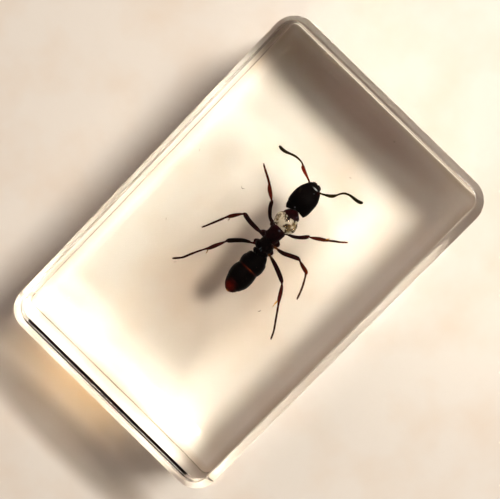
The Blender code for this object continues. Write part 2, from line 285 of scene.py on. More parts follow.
# The block's levels from the underside up: how far each is drawn in by the rounded base edge, the
# grooves or the bevel, less draft * (1 - z / height); its height; how far the surface leans back from
# upright; and how far the level lies off centre, which grows with the bevel.
def blockLevels():
    s = blockShape
    tilt = np.radians(s["bevelTilt"])
    bevel = s["outerRound"] * (1 - np.sin(tilt)) + s["bevelWidth"] + s["innerRound"] * np.sin(tilt)
    drop = (s["outerRound"] * np.cos(tilt) + s["bevelWidth"] * np.tan(tilt)
            + s["innerRound"] * (1 - np.cos(tilt)))
    base = np.linspace(0, np.pi / 2, s["roundSteps"] + 1)
    outer = np.linspace(np.pi / 2, tilt, s["roundSteps"] + 1)
    inner = np.linspace(tilt, 0, s["roundSteps"] + 1)
    wall = np.linspace(s["baseRound"], s["height"] - drop, s["wallSteps"] + 1)[1:-1]
    line, depth = np.array(s["pourLines"]).T
    slope = np.concatenate(((0,), np.diff(depth) / np.diff(line), (0,)))[np.searchsorted(line, wall)]
    inset = np.concatenate((
        s["baseRound"] * (1 - np.sin(base)), np.interp(wall, line, depth),
        s["outerRound"] * (1 - np.sin(outer)), bevel - s["innerRound"] * np.sin(inner)))
    height = np.concatenate((
        s["baseRound"] * (1 - np.cos(base)), wall, s["height"] - drop + s["outerRound"] * np.cos(outer),
        s["height"] - s["innerRound"] * (1 - np.cos(inner))))
    lean = np.concatenate((base - np.pi / 2, np.arctan(slope), np.pi / 2 - outer, np.pi / 2 - inner))
    shift = s["topShift"] * np.concatenate((np.zeros(len(base) + len(wall)), inset[-2 * len(inner):] / bevel))
    shiftRate = (shift > 0) * s["topShift"] / bevel
    inset = inset - s["draft"] * (1 - height / s["height"])
    lean = lean + np.arctan(s["draft"] / s["height"])
    return inset, height, lean, shift, shiftRate


# The corner radius at each height, base + (top - base) * (3t^2 - 2t^3), and how fast it grows.
def cornerAt(height):
    s = blockShape
    t = np.clip((height - s["cornerFrom"]) / (s["cornerTo"] - s["cornerFrom"]), 0, 1)
    radius = s["baseCorner"] + (s["topCorner"] - s["baseCorner"]) * (3 * t**2 - 2 * t**3)
    growth = (s["topCorner"] - s["baseCorner"]) * 6 * (t - t**2) / (s["cornerTo"] - s["cornerFrom"])
    return radius, growth


# The block as rings from the underside up, each a rounded rectangle. At angle a round a corner the
# normal is (cos lean cos a, cos lean sin a, sin lean (1 - rate sin a) + growth (|cos a| + |sin a| - 1)).
def blockSurface():
    s = blockShape
    inset, height, lean, shift, shiftRate = [row[:, None] for row in blockLevels()]
    radius, growth = cornerAt(height)
    corner = np.linspace(0, np.pi / 2, s["cornerSteps"] + 1)
    around = (corner[None] + np.arange(4)[:, None] * np.pi / 2).ravel()
    cos, sin = np.cos(around), np.sin(around)
    sideX = np.repeat((1, -1, -1, 1), len(corner))
    sideY = np.repeat((1, 1, -1, -1), len(corner))
    rings = np.stack(np.broadcast_arrays(
        sideX * (s["length"] / 2 - radius) + (radius - inset) * cos,
        sideY * (s["width"] / 2 - radius) + (radius - inset) * sin + shift, height), axis=-1)
    rise = np.sin(lean) * (1 - shiftRate * sin) + growth * (np.abs(cos) + np.abs(sin) - 1)
    normals = np.stack(np.broadcast_arrays(np.cos(lean) * cos, np.cos(lean) * sin, rise), axis=-1)
    normals /= np.linalg.norm(normals, axis=-1)[..., None]
    normals = np.concatenate((normals.reshape(-1, 3), ((0, 0, -1), (0, 0, 1))))
    return tubePoints(rings) * mm, tubeFaces(*rings.shape[:2]), normals


bubbleShape = {
    "centre": (5.46, -0.66, 0.35), "half": (1.12, 1.34, 0.55),      # mm about the ant's level
    "rows": 90, "cols": 120,
    "wave": 0.01,       # how uneven it is, as a share of its size
}


# Rings of an ellipsoid along its Y axis. Facets swell it by
# facet * sin(count * polar angle) * sin(count * angle round).
def ellipsoid(centre, half, rows, cols, facet=0.0, count=24):
    polar = np.linspace(0, np.pi, rows + 2)[1:-1, None]
    around = np.arange(cols) * 2 * np.pi / cols
    unit = np.stack(np.broadcast_arrays(
        np.sin(polar) * np.cos(around), np.cos(polar), np.sin(polar) * np.sin(around)), axis=-1)
    swell = 1 + facet * np.sin(count * polar) * np.sin(count * around)
    return np.array(centre) + np.array(half) * unit * swell[..., None]


# An air bubble in the resin: an ellipsoid whose faces look inward, out of the resin. It is uneven:
# each point moves outward by wave * (sin(5x + 1) sin(4y + 2) + sin(9y + 3z) sin(7x + 2)).
def bubbleSurface(centre, half, rows, cols, wave):
    rings = ellipsoid(centre, half, rows, cols)
    poles = np.array(centre) + np.array(half) * np.array(((0, 1, 0), (0, -1, 0)))
    points = np.concatenate((rings.reshape(-1, 3), poles))
    x, y, z = points.T
    swell = 1 + wave * (np.sin(5 * x + 1) * np.sin(4 * y + 2) + np.sin(9 * y + 3 * z) * np.sin(7 * x + 2))
    points = np.array(centre) + (points - centre) * swell[:, None]
    return inBlock(points), tubeFaces(rows, cols)[:, ::-1], np.zeros((len(points), 3))


# The clear piece: the block's outside with the bubble's wall in it, each with its own material.
def makeBlock(material, paintedSheen):
    surfaces = [blockSurface(), bubbleSurface(**bubbleShape)]
    points, faces = joined([surface[:2] for surface in surfaces])
    block = newPiece("resin", points, faces, material)
    block.data.materials.append(paintedSheen)
    block.data.polygons.foreach_set("material_index", np.arange(len(faces)) >= len(surfaces[0][1]))
    normals = np.concatenate([surface[2] for surface in surfaces])
    block.data.normals_split_custom_set_from_vertices(normals.tolist())
    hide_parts("resin_lower", "resin_upper")


# stations: along X, sideways Y, height above the ant's level, half width, half height
bodyShape = {
    "head": {"power": 2.3, "colours": ("#050202", "#0b0303"), "stations": (
        (7.051, -0.389, 0.05, 0.788, 0.493), (7.15, -0.35, 0.05, 1.123, 0.768),
        (7.327, -0.365, 0.05, 1.3, 0.887), (7.721, -0.384, 0.05, 1.394, 1.015),
        (8.312, -0.35, 0.05, 1.428, 1.074), (8.903, -0.325, 0.03, 1.394, 1.034),
        (9.395, -0.291, 0, 1.281, 0.965), (9.789, -0.276, -0.03, 1.098, 0.847),
        (10.134, -0.261, -0.08, 0.877, 0.69), (10.4, -0.281, -0.14, 0.621, 0.493),
        (10.558, -0.301, -0.18, 0.355, 0.315), (10.637, -0.291, -0.2, 0.138, 0.138))},
    "neck": {"power": 2.0, "colours": ("#1c0507", "#1c0507"), "stations": (
        (6.638, -0.429, -0.05, 0.414, 0.394), (7.278, -0.409, -0.02, 0.394, 0.355))},
    "pronotum": {"power": 2.2, "colours": ("#26060a", "#1c0507"), "stations": (
        (7.051, -0.409, 0, 0.394, 0.374), (6.815, -0.468, 0.03, 0.65, 0.552),
        (6.559, -0.517, 0.05, 0.867, 0.729), (6.322, -0.567, 0.05, 0.955, 0.8),
        (6.12, -0.59, 0.05, 0.8, 0.72), (5.93, -0.61, 0.02, 0.46, 0.5),
        (5.7, -0.63, -0.02, 0.32, 0.42), (5.4, -0.665, -0.04, 0.34, 0.45),
        (5.12, -0.71, -0.03, 0.46, 0.54), (4.865, -0.744, -0.02, 0.552, 0.591))},
    "mesothorax": {"power": 2.4, "colours": ("#220509", "#1a0507"), "stations": (
        (5.111, -0.705, -0.05, 0.493, 0.493), (4.766, -0.685, 0, 0.729, 0.67),
        (4.274, -0.665, 0.02, 0.887, 0.768), (3.683, -0.665, 0, 0.847, 0.749),
        (3.19, -0.626, -0.02, 0.867, 0.729), (2.895, -0.586, -0.02, 0.69, 0.611))},
    "propodeum": {"power": 2.6, "colours": ("#0d0304", "#0b0303"), "stations": (
        (2.993, -0.606, 0, 0.591, 0.591), (2.599, -0.626, 0.04, 0.69, 0.709),
        (2.254, -0.744, 0.06, 0.965, 0.827), (1.86, -0.764, 0.04, 0.985, 0.808),
        (1.565, -0.803, 0, 0.788, 0.63))},
    "petiole": {"power": 2.5, "colours": ("#080303", "#060303"), "stations": (
        (1.713, -0.862, 0, 0.493, 0.443), (1.417, -0.921, 0.06, 0.847, 0.788),
        (1.2, -0.951, 0.08, 0.867, 0.906), (0.984, -0.98, 0.06, 0.709, 0.67),
        (0.629, -1.02, 0, 0.512, 0.443))},
    "gasterFront": {"power": 2.1, "colours": ("#050303", "#070303"), "stations": (
        (1.141, -1.079, -0.06, 0.512, 0.473), (1.072, -1.099, -0.05, 0.739, 0.67),
        (0.875, -1.153, -0.02, 0.97, 0.887), (0.531, -1.163, 0, 1.216, 1.084),
        (0.136, -1.192, 0, 1.345, 1.221), (-0.159, -1.187, 0, 1.413, 1.29),
        (-0.553, -1.202, 0, 1.384, 1.271), (-0.947, -1.207, 0, 1.261, 1.162))},
    "gasterRear": {"power": 2.1, "colours": ("#090303", "#060303"), "stations": (
        (-0.799, -1.197, 0, 1.221, 1.123), (-1.213, -1.207, 0, 1.34, 1.241),
        (-1.735, -1.197, 0, 1.418, 1.29), (-2.129, -1.227, -0.01, 1.399, 1.261),
        (-2.523, -1.246, -0.02, 1.335, 1.182), (-2.967, -1.236, -0.05, 1.172, 1.034),
        (-3.41, -1.231, -0.08, 0.96, 0.847), (-3.755, -1.251, -0.1, 0.714, 0.64),
        (-4.001, -1.261, -0.12, 0.488, 0.433), (-4.179, -1.271, -0.13, 0.167, 0.158))},
}

# stations: along X, sideways Y, height above the ant's level, half width;
# the beads are the short joints of feet and feelers, from beadsFrom of the way along to the end
limbShape = {
    "legFrontLeft": {"beadsFrom": 0.63, "beads": 5, "colours": (
        "#1c0506", "#240806", "#2a0a06", "#6b1e08", "#5e1a08", "#4a1406", "#5a1e08"), "stations": (
        (4.48, 0.41, -0.35, 0.223), (4.61, 0.81, -0.2, 0.181), (4.91, 1.19, 0, 0.201),
        (5.39, 1.61, 0.2, 0.212), (5.87, 1.89, 0.32, 0.212), (6.05, 1.99, 0.33, 0.149),
        (6.15, 2.14, 0.3, 0.097), (6.39, 2.49, 0.1, 0.191), (6.73, 2.98, -0.15, 0.233),
        (7, 3.3, -0.3, 0.191), (7.18, 3.5, -0.42, 0.138), (7.44, 3.93, -0.6, 0.138),
        (7.73, 4.47, -0.8, 0.128), (8.02, 5.02, -0.95, 0.107), (8.23, 5.37, -1.05, 0.097))},
    "legMiddleLeft": {"beadsFrom": 0.68, "beads": 5, "colours": (
        "#1c0506", "#260608", "#2a0709", "#4a1207", "#3c0e06", "#33100a", "#3a160a"), "stations": (
        (2.88, 0.12, -0.5, 0.275), (2.85, 0.67, -0.3, 0.181), (2.82, 1.16, -0.05, 0.233),
        (2.87, 2.15, 0.3, 0.255), (3.02, 2.94, 0.52, 0.255), (3.02, 3.15, 0.55, 0.181),
        (2.88, 3.3, 0.5, 0.107), (2.51, 3.59, 0.3, 0.17), (2.01, 3.93, 0.05, 0.223),
        (1.68, 4.15, -0.12, 0.181), (1.44, 4.3, -0.25, 0.118), (0.72, 4.61, -0.6, 0.128),
        (-0.15, 4.99, -0.85, 0.118), (-0.8, 5.28, -1.02, 0.097), (-1.16, 5.45, -1.1, 0.097))},
    "legHindLeft": {"beadsFrom": 0.7, "beads": 5, "colours": (
        "#4a1810", "#0e0503", "#120604", "#33080a", "#3c0a0a", "#2a0a06", "#2e1208"), "stations": (
        (1.75, 0.06, -0.5, 0.275), (1.37, 0.43, -0.32, 0.107), (1.2, 0.78, -0.15, 0.17),
        (0.9, 1.29, 0.15, 0.223), (0.33, 1.91, 0.48, 0.244), (-0.13, 2.34, 0.62, 0.244),
        (-0.31, 2.48, 0.62, 0.16), (-0.49, 2.54, 0.56, 0.097), (-0.96, 2.75, 0.3, 0.16),
        (-1.61, 3.05, -0.02, 0.223), (-2.21, 3.31, -0.25, 0.191), (-2.59, 3.55, -0.38, 0.107),
        (-3.36, 3.96, -0.65, 0.107), (-4.23, 4.36, -0.9, 0.128), (-5.1, 4.76, -1.1, 0.118),
        (-5.86, 5.4, -1.25, 0.118))},
    "legFrontRight": {"beadsFrom": 0.62, "beads": 5, "colours": (
        "#220508", "#280608", "#2c0808", "#5a1408", "#5a1e08", "#2e1406", "#6b2a18"), "stations": (
        (4.65, -1.36, -0.35, 0.244), (4.72, -1.75, -0.2, 0.149), (4.91, -2.23, -0.02, 0.181),
        (5.29, -2.76, 0.2, 0.201), (5.79, -3.23, 0.36, 0.233), (6.06, -3.42, 0.36, 0.17),
        (6.12, -3.57, 0.32, 0.086), (6.34, -3.95, 0.15, 0.17), (6.7, -4.49, -0.12, 0.223),
        (7.05, -5.03, -0.35, 0.17), (7.24, -5.29, -0.45, 0.118), (7.63, -5.8, -0.65, 0.128),
        (8.01, -6.33, -0.85, 0.107), (8.43, -6.81, -1.05, 0.097))},
    "legMiddleRight": {"beadsFrom": 0.73, "beads": 5, "colours": (
        "#8a5a30", "#2c0806", "#300a08", "#4a1206", "#5e2008", "#3c1606", "#3a1a08"), "stations": (
        (2.6, -1.34, -0.5, 0.275), (2.76, -1.85, -0.32, 0.118), (2.79, -2.22, -0.15, 0.17),
        (2.94, -2.82, 0.1, 0.233), (3.29, -3.53, 0.4, 0.244), (3.57, -4.14, 0.53, 0.244),
        (3.62, -4.42, 0.52, 0.16), (3.56, -4.62, 0.45, 0.107), (3.4, -5.09, 0.2, 0.191),
        (3.25, -5.64, -0.03, 0.223), (3.12, -5.97, -0.18, 0.181), (2.89, -6.1, -0.3, 0.107),
        (2.19, -6.52, -0.6, 0.118), (1.37, -6.92, -0.88, 0.118), (0.45, -7.26, -1.1, 0.107))},
    "legHindRight": {"beadsFrom": 0.7, "beads": 5, "colours": (
        "#8a5a30", "#220506", "#260608", "#3a0a06", "#4e0e06", "#2c0a05", "#2a1006"), "stations": (
        (1.73, -1.44, -0.5, 0.275), (1.69, -1.99, -0.32, 0.118), (1.62, -2.31, -0.15, 0.17),
        (1.42, -3, 0.15, 0.233), (1.08, -3.9, 0.45, 0.255), (0.76, -4.58, 0.6, 0.223),
        (0.63, -4.79, 0.58, 0.16), (0.5, -4.92, 0.5, 0.097), (0.2, -5.17, 0.28, 0.17),
        (-0.32, -5.51, -0.02, 0.223), (-0.95, -5.89, -0.2, 0.201), (-1.3, -6.15, -0.34, 0.128),
        (-2.03, -6.66, -0.62, 0.118), (-2.96, -7.3, -0.9, 0.118), (-3.84, -7.9, -1.12, 0.107),
        (-4.64, -8.28, -1.25, 0.107))},
    "antennaLeft": {"beadsFrom": 0.46, "beads": 11, "colours": (
        "#2e1c06", "#7c1c06", "#82200a", "#3a2604", "#302404", "#2a2006", "#241c06"), "stations": (
        (10.12, 0.38, 0.1, 0.107), (10.33, 0.7, 0.17, 0.097), (10.5, 1.13, 0.25, 0.118),
        (10.65, 1.55, 0.33, 0.17), (10.81, 1.94, 0.38, 0.201), (10.95, 2.17, 0.4, 0.181),
        (11.05, 2.29, 0.4, 0.107), (11.18, 2.57, 0.37, 0.086), (11.23, 2.96, 0.32, 0.107),
        (11.18, 3.53, 0.2, 0.128), (11, 4.09, 0.08, 0.138), (10.82, 4.58, -0.05, 0.17),
        (10.75, 5.09, -0.18, 0.191), (10.81, 5.51, -0.28, 0.128))},
    "antennaRight": {"beadsFrom": 0.46, "beads": 11, "colours": (
        "#2c2206", "#2a2106", "#2a2106", "#302606", "#2a2206", "#241e06", "#201b08"), "stations": (
        (10.11, -0.91, 0.1, 0.107), (10.28, -1.27, 0.17, 0.097), (10.49, -1.65, 0.25, 0.128),
        (10.71, -2.02, 0.34, 0.181), (10.96, -2.28, 0.38, 0.181), (11.18, -2.42, 0.4, 0.128),
        (11.34, -2.51, 0.4, 0.097), (11.69, -2.68, 0.37, 0.107), (12.01, -2.96, 0.3, 0.118),
        (12.22, -3.41, 0.18, 0.128), (12.3, -3.92, 0.05, 0.17), (12.35, -4.39, -0.08, 0.191),
        (12.47, -4.8, -0.2, 0.191), (12.63, -5.02, -0.28, 0.118))},
    "coxaFrontLeft": {"beadsFrom": 1, "beads": 1, "colours": ("#200508", "#26060a"), "stations": (
        (4.52, -0.46, -0.2, 0.335), (4.39, -0.01, -0.38, 0.355), (4.32, 0.3, -0.42, 0.256),
        (4.37, 0.5, -0.38, 0.118))},
    "coxaFrontRight": {"beadsFrom": 1, "beads": 1, "colours": ("#200508", "#26060a"), "stations": (
        (4.62, -0.85, -0.2, 0.335), (4.69, -1.25, -0.38, 0.355), (4.69, -1.51, -0.4, 0.266),
        (4.69, -1.71, -0.32, 0.118))},
    "coxaMiddleLeft": {"beadsFrom": 1, "beads": 1, "colours": ("#200508", "#26060a"), "stations": (
        (3.09, -0.41, -0.25, 0.335), (3.04, 0.03, -0.42, 0.394), (2.99, 0.4, -0.46, 0.325),
        (2.93, 0.65, -0.4, 0.138))},
    "coxaMiddleRight": {"beadsFrom": 1, "beads": 1, "colours": ("#200508", "#26060a"), "stations": (
        (3.19, -0.85, -0.25, 0.335), (3.17, -1.3, -0.42, 0.414), (3.11, -1.65, -0.46, 0.325),
        (3.01, -1.89, -0.4, 0.138))},
    "coxaHindLeft": {"beadsFrom": 1, "beads": 1, "colours": ("#200508", "#26060a"), "stations": (
        (2.01, -0.46, -0.25, 0.355), (1.91, -0.01, -0.42, 0.355), (1.83, 0.28, -0.46, 0.256),
        (1.66, 0.45, -0.4, 0.108))},
    "coxaHindRight": {"beadsFrom": 1, "beads": 1, "colours": ("#200508", "#26060a"), "stations": (
        (2.06, -1.1, -0.25, 0.355), (2.06, -1.49, -0.42, 0.374), (2.01, -1.81, -0.46, 0.266),
        (1.91, -2, -0.38, 0.108))},
    "mandibleLeft": {"beadsFrom": 1, "beads": 1, "colours": ("#140504", "#4a1206"), "stations": (
        (10.13, 0.18, -0.28, 0.197), (10.43, 0.14, -0.33, 0.187), (10.6, -0.03, -0.37, 0.128),
        (10.68, -0.19, -0.4, 0.049))},
    "mandibleRight": {"beadsFrom": 1, "beads": 1, "colours": ("#140504", "#4a1206"), "stations": (
        (10.13, -0.78, -0.28, 0.197), (10.43, -0.72, -0.33, 0.187), (10.6, -0.53, -0.37, 0.128),
        (10.68, -0.39, -0.4, 0.049))},
    "spurHindLeft": {"beadsFrom": 1, "beads": 1, "colours": ("#5a3408", "#b88a3a"), "stations": (
        (-2.38, 3.35, -0.3, 0.049), (-2.67, 3.25, -0.42, 0.049), (-2.94, 3.2, -0.55, 0.02))},
    "spurHindRight": {"beadsFrom": 1, "beads": 1, "colours": ("#c88a10", "#e6b030"), "stations": (
        (-1.14, -5.88, -0.26, 0.059), (-1.39, -5.9, -0.34, 0.074), (-1.64, -5.91, -0.44, 0.049))},
    "spurHindRightTip": {"beadsFrom": 1, "beads": 1, "colours": ("#d89a18", "#c8a860"), "stations": (
        (-1.5, -5.88, -0.42, 0.03), (-1.81, -5.95, -0.5, 0.044), (-2.08, -5.98, -0.6, 0.015))},
    "spurMiddleLeft": {"beadsFrom": 1, "beads": 1, "colours": ("#6a4a20", "#a08a60"), "stations": (
        (1.63, 4.01, -0.22, 0.03), (1.44, 3.96, -0.28, 0.034), (1.26, 3.93, -0.34, 0.015))},
    "spurMiddleRight": {"beadsFrom": 1, "beads": 1, "colours": ("#6a4a20", "#a08a60"), "stations": (
        (3.05, -5.92, -0.22, 0.03), (2.94, -5.94, -0.28, 0.039), (2.82, -5.98, -0.34, 0.015))},
    "spurFrontRight": {"beadsFrom": 1, "beads": 1, "colours": ("#d89010", "#b87a18"), "stations": (
        (7.01, -4.86, -0.2, 0.03), (7.25, -5.06, -0.3, 0.054), (7.46, -5.26, -0.38, 0.02))},
}

# ellipsoids: middle, half sizes, depth of the facets and colour
bulgeShape = {
    "eyeLeft": {
        "centre": (8.85, 0.89, 0.42), "half": (0.266, 0.187, 0.236), "facet": 0.02, "colour": "#070504"},
    "eyeRight": {
        "centre": (8.85, -1.54, 0.42), "half": (0.266, 0.187, 0.236), "facet": 0.02, "colour": "#070504"},
    "clypeus": {
        "centre": (9.99, -0.29, 0.08), "half": (0.493, 0.611, 0.493), "facet": 0.0, "colour": "#0a0303"},
}

antDetail = {
    "bodyRows": 72, "bodyCols": 120, "bulgeRows": 40, "bulgeCols": 48, "limbRows": 160, "limbCols": 18,
    "beadDepth": 0.13, "beadWidth": 0.13,
    # how many fine ridges run round each form, and their depth
    "ridges": {"head": (38, 0.004), "pronotum": (22, 0.012), "mesothorax": (20, 0.02),
               "propodeum": (16, 0.028), "petiole": (14, 0.03)},
    # the overlapping plates of the gaster end at these places along X
    "plateEdges": (-2.54, -3.23, -3.78), "plateRise": 0.018, "plateWidth": 0.06,
    # stains, and pale grey to white painted glints standing in for light off thin films of air on the
    # cuticle: X, Y, half length, half width, strength, colour
    "marksAndGlints": (
        (-0.84, -1.15, 0.1, 0.99, 0.8, "#48140a"), (-0.79, -1.44, 0.06, 0.44, 0.8, "#7c3a1e"),
        (-3.53, -1, 0.54, 0.54, 0.95, "#600a04"), (-2.84, -1.1, 0.07, 0.39, 0.6, "#4a1218"),
        (-4.16, -1.2, 0.09, 0.49, 0.9, "#b0701e"), (10.13, -1, 0.3, 0.12, 0.7, "#3c0a0a"),
        (9.06, 0.69, 0.22, 0.12, 0.6, "#2a2618"), (10.17, -0.43, 0.05, 0.22, 1, "#dfe4e8"),
        (9.71, -0.67, 0.06, 0.06, 0.7, "#5c6468"), (7.29, -0.21, 0.07, 0.07, 0.8, "#7c7c8c"),
        (1.63, -0.63, 0.16, 0.04, 0.6, "#6c7880"), (1.52, -0.86, 0.13, 0.04, 0.5, "#5c6a70"),
        (4.35, -0.78, 0.08, 0.1, 0.7, "#8a8894"), (6.66, -1.12, 0.1, 0.08, 0.7, "#786c78"),
        (4.62, -0.36, 0.3, 0.25, 0.6, "#4a1024"), (2.85, -1.49, 0.3, 0.25, 0.6, "#3e0812")),
}


# Colour at each share of the way along, between evenly spaced stops.
def colourAlong(stops, share):
    table = np.array([linear(stop) for stop in stops])
    even = np.linspace(0, 1, len(table))
    return np.stack([np.interp(share, even, channel) for channel in table.T], axis=-1)


# Each stain or painted glint fades in as strength * exp(-((x - cx) / hx)^2 - ((y - cy) / hy)^2).
def markedAndGlinted(colours, points):
    for x, y, halfX, halfY, strength, hexCode in antDetail["marksAndGlints"]:
        fade = np.exp(-((points[:, 0] - x) / halfX)**2 - ((points[:, 1] - y) / halfY)**2)
        share = (strength * fade)[:, None]
        colours = colours * (1 - share) + np.array(linear(hexCode)) * share
    return colours


# Gives each point of a piece its own colour.
def setPigmentAndGlints(piece, colours):
    attribute = piece.data.attributes.new("pigment_and_glints", "FLOAT_COLOR", "POINT")
    attribute.data.foreach_set("color", np.asarray(colours, np.float32).ravel())


# A coloured tube: the colours run along its rows.
def antTube(name, rings, stops, material):
    rows, cols = rings.shape[:2]
    points = tubePoints(rings)
    piece = newPiece(name, inBlock(points), tubeFaces(rows, cols), material)
    share = np.append(np.repeat(np.linspace(0, 1, rows), cols), (0, 1))
    setPigmentAndGlints(piece, markedAndGlinted(colourAlong(stops, share), points))
    return piece


# Fine ridges run along a body ring: the radius grows by depth * sin(count * angle + 2 sin(9 share)).
def ridged(rings, count, depth):
    rows, cols = rings.shape[:2]
    angle = np.arange(cols) * 2 * np.pi / cols
    share = np.linspace(0, 1, rows)[:, None]
    wave = depth * np.sin(count * angle + 2 * np.sin(9 * share))
    middle = rings.mean(axis=1, keepdims=True)
    return middle + (rings - middle) * (1 + wave)[..., None]


# Body forms, one tube each; the gaster's plates stand proud by rise * exp(-((x - edge) / width)^2).
def makeBody(material):
    s = antDetail
    pieces = []
    for name, shape in bodyShape.items():
        keys = smoothThrough(shape["stations"], s["bodyRows"])
        swell = sum(s["plateRise"] * np.exp(-((keys[:, 0] - edge) / s["plateWidth"])**2)
                    for edge in s["plateEdges"])
        rings = ringsAlong(keys[:, :3], keys[:, 3] + swell, keys[:, 4] + swell, s["bodyCols"], shape["power"])
        if name in s["ridges"]:
            rings = ridged(rings, *s["ridges"][name])
        pieces.append(antTube(name, rings, shape["colours"], material))
    for name, bulge in bulgeShape.items():
        rings = ellipsoid(bulge["centre"], bulge["half"], s["bulgeRows"], s["bulgeCols"], bulge["facet"])
        pieces.append(antTube(name, rings, (bulge["colour"], bulge["colour"]), material))
    return pieces


# Limbs, one tube each: between beads the radius shrinks by depth * exp(-(d / width)^2), where d is how
# far the point is from the nearest joint, in beads. A limb whose beadsFrom is 1 has none.
def makeLimbs(material):
    s = antDetail
    pieces = []
    for name, shape in limbShape.items():
        keys = smoothThrough(shape["stations"], s["limbRows"])
        share = np.linspace(0, 1, s["limbRows"])
        bead = np.clip((share - shape["beadsFrom"]) / (1 + tiny - shape["beadsFrom"]), 0, 1) * shape["beads"]
        away = np.abs(bead - np.round(bead)) + (bead == 0)
        wide = keys[:, 3] * (1 - s["beadDepth"] * np.exp(-(away / s["beadWidth"])**2))
        rings = ringsAlong(keys[:, :3], wide, wide, s["limbCols"])
        pieces.append(antTube(name, rings, shape["colours"], material))
        if name.startswith("leg"):
            pieces += makeClaws(name, keys, shape["colours"], material)
    return pieces


# a claw's stations in mm from the end of the foot: along, aside, up and half width
clawShape = {
    "stations": ((-0.03, 0, 0, 0.04), (0.1, 0.05, 0.02, 0.03), (0.17, 0.09, -0.07, 0.008)),
    "rows": 14, "cols": 10,
    "footRows": 8,       # the foot's direction is read over its last rows
}


# Two hooked claws at a foot's end: out along the foot and to each side, then bent down.
def makeClaws(name, keys, stops, material):
    s = clawShape
    end = keys[-1, :3]
    run = end - keys[-s["footRows"], :3]
    run /= np.linalg.norm(run)
    side = np.cross((0, 0, 1.0), run)
    along, aside, up, wide = np.array(s["stations"]).T[:, :, None]
    pieces = []
    for hand in (-1, 1):
        place = end + along * run + hand * aside * side + up * (0, 0, 1.0)
        path = smoothThrough(np.column_stack((place, wide)), s["rows"])
        rings = ringsAlong(path[:, :3], path[:, 3], path[:, 3], s["cols"])
        pieces.append(antTube(name + "Claw", rings, stops[-1:] * 2, material))
    return pieces


# stiff hairs, in mm: each is rooted a little below the surface and leans and scatters from upright
setaShape = {
    "count": 620, "length": (0.1, 0.26), "halfWidth": 0.009, "sunk": 0.02,
    "lean": (-0.5, 0, 0.1), "scatter": 0.15, "askew": (0.3, 0.5, 0.8),
    "seed": 7, "colour": "#4a2410",
}


# The places or normals of all the points of some pieces.
def pointRows(pieces, key):
    rows = []
    for piece in pieces:
        values = np.empty(3 * len(piece.data.vertices), np.float32)
        piece.data.vertices.foreach_get(key, values)
        rows.append(values.reshape(-1, 3).astype(float))
    return np.concatenate(rows)


# Stiff hairs, each a slim spike of four faces: it leans back from the surface it grows on.
def makeSetae(pieces, material):
    s = setaShape
    chance = np.random.default_rng(s["seed"])
    points, outward = pointRows(pieces, "co"), pointRows(pieces, "normal")
    pick = chance.integers(0, len(points), s["count"])
    root, lean = points[pick] / mm, outward[pick]
    lean = lean + s["lean"] + chance.normal(0, s["scatter"], lean.shape)
    lean /= np.linalg.norm(lean, axis=1)[:, None]
    length = chance.uniform(*s["length"], len(root))[:, None]
    across = np.cross(lean, s["askew"])
    across /= np.linalg.norm(across, axis=1)[:, None]
    over = np.cross(lean, across)
    corners = [root + s["halfWidth"] * (np.cos(a) * across + np.sin(a) * over) - s["sunk"] * lean
               for a in np.arange(3) * 2 * np.pi / 3]
    spikes = np.stack(corners + [root + length * lean], axis=1).reshape(-1, 3) * mm
    pattern = np.array(((0, 1, 3), (1, 2, 3), (2, 0, 3), (2, 1, 0)))
    faces = (np.arange(len(root))[:, None, None] * 4 + pattern).reshape(-1, 3)
    piece = newPiece("setae", spikes, faces, material)
    setPigmentAndGlints(piece, np.tile(linear(s["colour"]), (len(spikes), 1)))


# dust and curled scratches: X, Y, length, heading and curl in degrees, half width, colour
specks = (
    (5.0, 5.0, 0.55, 200, 150, 0.022, "#4a3a30"),
    (-2.9, -5.1, 0.4, -60, 60, 0.035, "#3a2c24"),
    (19.1, -2.8, 0.16, 30, 10, 0.04, "#54443a"),
    (-2.8, 8.5, 0.3, 20, 40, 0.02, "#8a7a6a"),
    (-5.4, 4.7, 0.35, 110, 60, 0.02, "#8a7a6a"),
    (13.4, -2.2, 0.3, 60, 90, 0.02, "#9a8a7a"),
    (19.4, 5.0, 1.5, -80, 190, 0.018, "#e8e0d4"),
    (19.5, 2.9, 0.9, -100, -120, 0.02, "#e8e0d4"),
    (19.4, 3.4, 0.5, 40, 60, 0.015, "#e0d8cc"),
    (4.7, 10.9, 0.3, 10, 30, 0.016, "#a89888"),
    (-14.6, 3.9, 0.25, 80, 30, 0.016, "#a89888"),
    (20.5, 7.6, 0.5, 30, -60, 0.014, "#d8d0c4"),
)

speckDetail = {
    "rows": 24, "cols": 8, "blunt": 0.04,
    "grain": 0.05, "level": (0.6, 1.3),     # mm, and the brightness from its darkest to its lightest
    "roughness": 0.85,
}


# Dry dust and the pale walls of fine scratches: matt, with an uneven grain.
def dustLook():
    s = speckDetail
    material, tree, place = newMaterial("dust_and_scratches")
    tone = addNode(tree, "ShaderNodeAttribute", {"attribute_name": "pigment_and_glints"})
    level = remapped(tree, clouds(tree, place, s["grain"], 2.0), end=s["level"])
    finished(tree, {"Base Color": scaled(tree, tone.outputs["Color"], level), "Roughness": s["roughness"]})
    return material


# Each speck is a thin tube along an arc in the upper face, tapered as sqrt(1 - (2t - 1)^2).
def makeSpecks(material):
    s = speckDetail
    top = blockShape["height"]
    t = np.linspace(0, 1, s["rows"])
    for x, y, length, heading, curl, wide, hexCode in specks:
        angle = np.radians(heading + curl * t)
        steps = np.column_stack((np.cos(angle), np.sin(angle))) * length / s["rows"]
        along = np.cumsum(steps, axis=0)
        path = np.column_stack((along - along.mean(axis=0) + (x, y), np.full(s["rows"], top - wide)))
        half = wide * np.sqrt(np.maximum(1 - (2 * t - 1)**2, s["blunt"]))
        rings = ringsAlong(path, half, half, s["cols"])
        piece = newPiece("speck", tubePoints(rings) * mm, tubeFaces(*rings.shape[:2]), material)
        setPigmentAndGlints(piece, np.tile(linear(hexCode), (len(piece.data.vertices), 1)))


